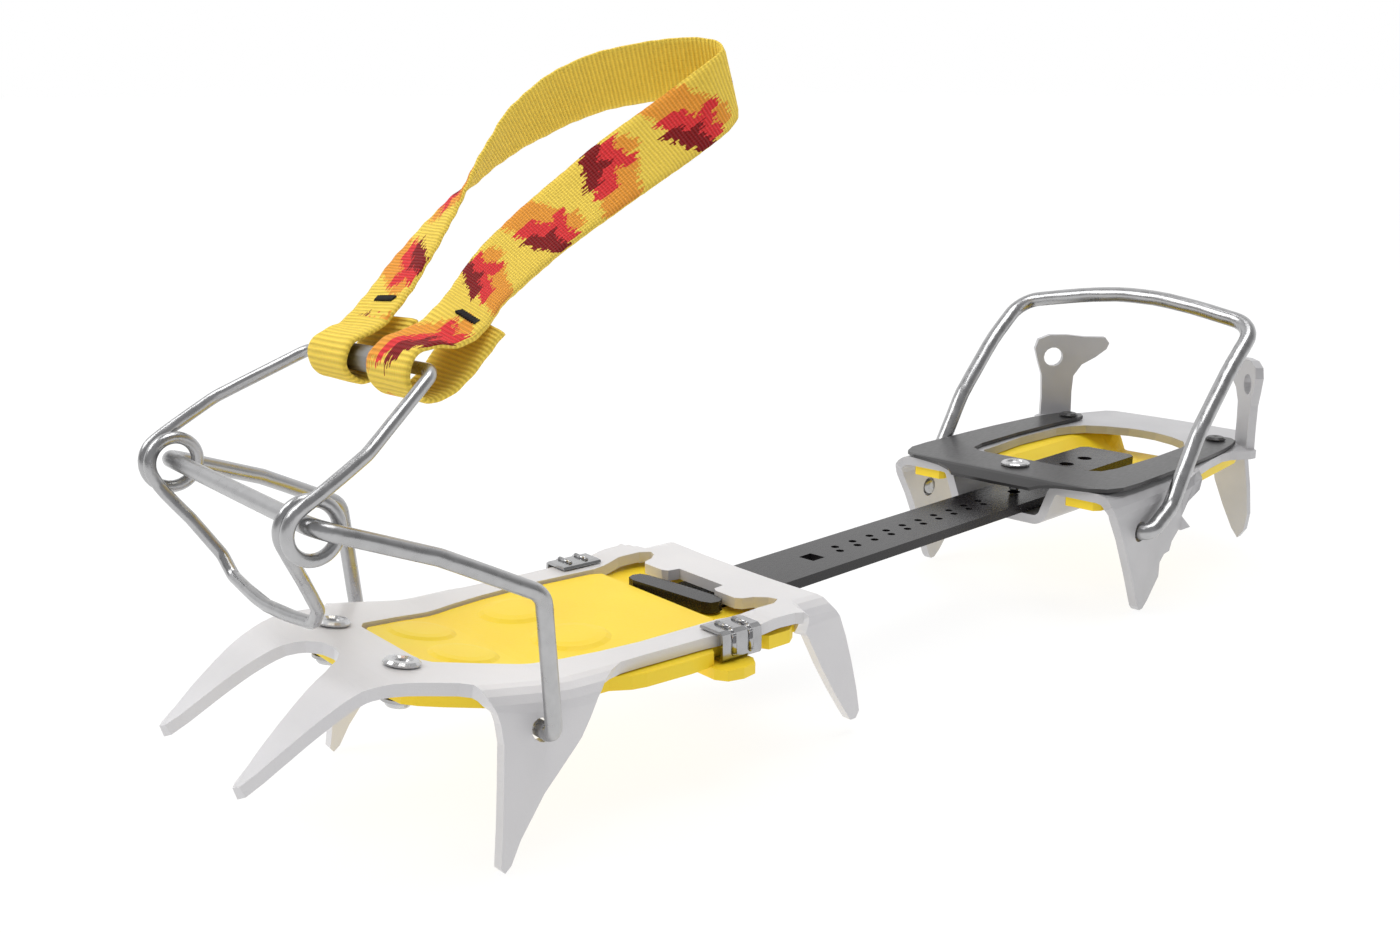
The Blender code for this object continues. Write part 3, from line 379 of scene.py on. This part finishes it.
def build_strap():
    fine = station_line(9)
    cols = 13
    verts, lay, faces = [], [], []
    run = 0.0
    rows = []
    for i, (c, h) in enumerate(fine):
        if i:
            run += (c - fine[i - 1][0]).length
        t = (fine[min(i + 1, len(fine) - 1)][0] - fine[max(i - 1, 0)][0]).normalized()
        h = h.normalized() * WEB_W
        n = h.cross(t).normalized()
        # rings run round the section: top face, then bottom face back again
        ring = []
        for side in (1, -1):
            for k in range(cols):
                a = -1 + 2 * k / (cols - 1)
                a = a if side > 0 else -a
                edge = 1.0 - 0.55 * max(0.0, (abs(a) - 0.9) / 0.1)
                wob = 0.10 * math.sin(run * 0.9 + 1.7 * a) + 0.08 * math.sin(run * 0.37 + 3 * a)
                p = c + h * a * (1 + 0.004 * math.sin(run * 1.3)) + n * (side * WEB_T / 2 * edge + wob)
                verts.append(toe(p))
                lay.append((run * U, a, side))
                ring.append(len(verts) - 1)
        rows.append(ring)
    m = len(rows[0])
    for a, b in zip(rows, rows[1:]):
        for k in range(m):
            faces.append((a[k], a[(k + 1) % m], b[(k + 1) % m], b[k]))
    faces.append(tuple(reversed(rows[0])))
    faces.append(tuple(rows[-1]))
    me = bpy.data.meshes.new("strap_webbing")
    me.from_pydata(verts, [], faces)
    at = me.attributes.new("lay", "FLOAT_VECTOR", "POINT")
    flat = [x for v in lay for x in v]
    at.data.foreach_set("vector", flat)
    me.update()
    bm = bmesh.new()
    bm.from_mesh(me)
    bmesh.ops.recalc_face_normals(bm, faces=bm.faces)
    bm.to_mesh(me)
    area = sum(f.calc_area() for f in bm.faces) / 2
    bm.free()
    for p in me.polygons:
        p.use_smooth = True
    ob = bpy.data.objects.new("strap_webbing", me)
    bpy.context.scene.collection.objects.link(ob)
    me.materials.append(webbing(1.0, run * U - 0.042))
    return ob, area


strap, strap_area = build_strap()
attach(strap, "strap")
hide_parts("ankle_strap")


def zigzag(name, i, mid, replaces):
    c, h = Vector(ST[i][0]), Vector(ST[i][1]).normalized()
    t = (Vector(ST[i + 1][0]) - Vector(ST[i - 1][0])).normalized()
    n = h.cross(t).normalized()
    if n.z < 0:
        n = -n
    t2 = n.cross(h).normalized()
    pts = []
    steps = 18
    for k in range(steps + 1):
        a = mid - 4.0 + 8.0 * k / steps
        pts.append(c + h * a + t2 * (0.85 if k % 2 else -0.85) + n * (WEB_T / 2 + 0.22))
    cu = bpy.data.curves.new(name, "CURVE")
    cu.dimensions = "3D"
    sp = cu.splines.new("POLY")
    sp.points.add(len(pts) - 1)
    for q, p in zip(sp.points, pts):
        w = toe(p)
        q.co = (w[0], w[1], w[2], 1)
    cu.bevel_depth = 0.32 * U
    cu.bevel_resolution = 2
    cu.use_fill_caps = True
    tmp = bpy.data.objects.new(name + "_c", cu)
    bpy.context.scene.collection.objects.link(tmp)
    dg = bpy.context.evaluated_depsgraph_get()
    me = bpy.data.meshes.new_from_object(tmp.evaluated_get(dg))
    bpy.data.objects.remove(tmp)
    ob = bpy.data.objects.new(name, me)
    bpy.context.scene.collection.objects.link(ob)
    me.materials.clear()
    me.materials.append(M_THREAD)
    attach(ob, "strap")
    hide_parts(replaces)
    return ob


z1 = zigzag("stitch_near", 10, 2.6, "strap_bartack_near")
z2 = zigzag("stitch_far", 34, -2.2, "strap_bartack_far")


# ----------------------------------------------------------- clip details
def mesh_ob(name, bm, mat, body, smooth=True):
    me = bpy.data.meshes.new(name)
    bmesh.ops.recalc_face_normals(bm, faces=bm.faces)
    bm.to_mesh(me)
    bm.free()
    for p in me.polygons:
        p.use_smooth = smooth
    me.materials.append(mat)
    ob = bpy.data.objects.new(name, me)
    bpy.context.scene.collection.objects.link(ob)
    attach(ob, body)
    return ob


def rod(a, b, r, seg=12):
    a, b = Vector(a), Vector(b)
    d = b - a
    bm = bmesh.new()
    bmesh.ops.create_cone(bm, cap_ends=True, segments=seg, radius1=r, radius2=r, depth=d.length,
                          matrix=Matrix.Translation((a + b) / 2) @ d.to_track_quat("Z", "Y").to_matrix().to_4x4())
    return bm


for tag, sx in (("near", 1), ("far", -1)):
    for k, y in enumerate((73.4, 79.0)):
        pts = [(sx * 33.5, y, 41.45), (sx * 38.6, y, 41.45), (sx * 40.3, y, 40.1), (sx * 40.5, y, 35.2)]
        bm = bmesh.new()
        for p, q in zip(pts, pts[1:]):
            piece = rod(toe(p), toe(q), 0.75 * U, 10)
            me = bpy.data.meshes.new("t")
            piece.to_mesh(me)
            piece.free()
            bm.from_mesh(me)
        for p in pts:
            bmesh.ops.create_uvsphere(bm, u_segments=10, v_segments=6, radius=0.75 * U, matrix=Matrix.Translation(toe(p)))
        ob = mesh_ob("clip_rib_%s_%d" % (tag, k), bm, M_CLIP, "toe_section")

# ------------------------------------------------------------------ stage
def plane(name, verts, mat):
    me = bpy.data.meshes.new(name)
    me.from_pydata(verts, [], [(0, 1, 2, 3)])
    ob = bpy.data.objects.new(name, me)
    me.materials.append(mat)
    bpy.context.scene.collection.objects.link(ob)
    ob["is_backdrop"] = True
    return ob


fm = N("floor_white")
fm.put(fm.b.inputs["Base Color"], fm.ramp(fm.noise(6, 2), [(0.3, (0.14, 0.14, 0.14)), (0.7, (0.15, 0.15, 0.15))]))
fm.set(Roughness=0.9)
fm.b.inputs["Emission Color"].default_value = (0.97, 0.97, 0.97, 1)
fm.b.inputs["Emission Strength"].default_value = 0.90
plane("floor", [(-30, -30, -0.0002), (30, -30, -0.0002), (30, 30, -0.0002), (-30, 30, -0.0002)], fm.m)

world = bpy.data.worlds.new("studio")
bpy.context.scene.world = world
world.use_nodes = True
wt = world.node_tree
bg = wt.nodes["Background"]
tc = wt.nodes.new("ShaderNodeTexCoord")
dot = wt.nodes.new("ShaderNodeVectorMath")
dot.operation = "DOT_PRODUCT"
dot.inputs[1].default_value = (-0.74, 0.60, -0.30)
wt.links.new(tc.outputs["Generated"], dot.inputs[0])
half = wt.nodes.new("ShaderNodeMath")
half.operation = "MULTIPLY_ADD"
half.inputs[1].default_value = 0.5
half.inputs[2].default_value = 0.5
wt.links.new(dot.outputs["Value"], half.inputs[0])
rp = wt.nodes.new("ShaderNodeValToRGB")
wt.links.new(half.outputs[0], rp.inputs[0])
els = rp.color_ramp.elements
els[0].position, els[0].color = 0.0, (0.42, 0.42, 0.43, 1)
els[1].position, els[1].color = 1.0, (1.0, 1.0, 1.0, 1)
for pos, v in ((0.25, 0.28), (0.42, 0.36), (0.60, 0.66), (0.72, 1.0)):
    e = els.new(pos)
    e.color = (v, v, v * 1.005, 1)
wt.links.new(rp.outputs[0], bg.inputs[0])
bg.inputs[1].default_value = 1.0


def area(name, loc, target, size_x, size_y, power, colour=(1, 1, 1)):
    li = bpy.data.lights.new(name, "AREA")
    li.shape = "RECTANGLE"
    li.size, li.size_y = size_x, size_y
    li.energy = power
    li.color = colour
    ob = bpy.data.objects.new(name, li)
    ob.location = loc
    d = Vector(target) - Vector(loc)
    ob.rotation_euler = d.to_track_quat("-Z", "Y").to_euler()
    bpy.context.scene.collection.objects.link(ob)
    return ob


area("key", (-0.5, -0.9, 1.1), (0, 0, 0.03), 0.8, 0.8, 8.4)
area("top", (0.1, 0.1, 1.3), (0, 0, 0), 0.7, 0.7, 6.4)

cam = bpy.data.cameras.new("cam")
cam.lens = 39.857
cam.sensor_width = 36.0
cam.clip_start = 0.01
co = bpy.data.objects.new("cam", cam)
co.location = (Vector((325.1, -167.9, 175.4)) + OFFSET) * U
co.rotation_euler = (math.radians(76.28), 0, math.radians(51.05))
bpy.context.scene.collection.objects.link(co)
bpy.context.scene.camera = co
bpy.context.scene.view_settings.view_transform = "Standard"

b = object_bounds()
size["final"] = [list(v) for v in b] if not isinstance(b, dict) else b
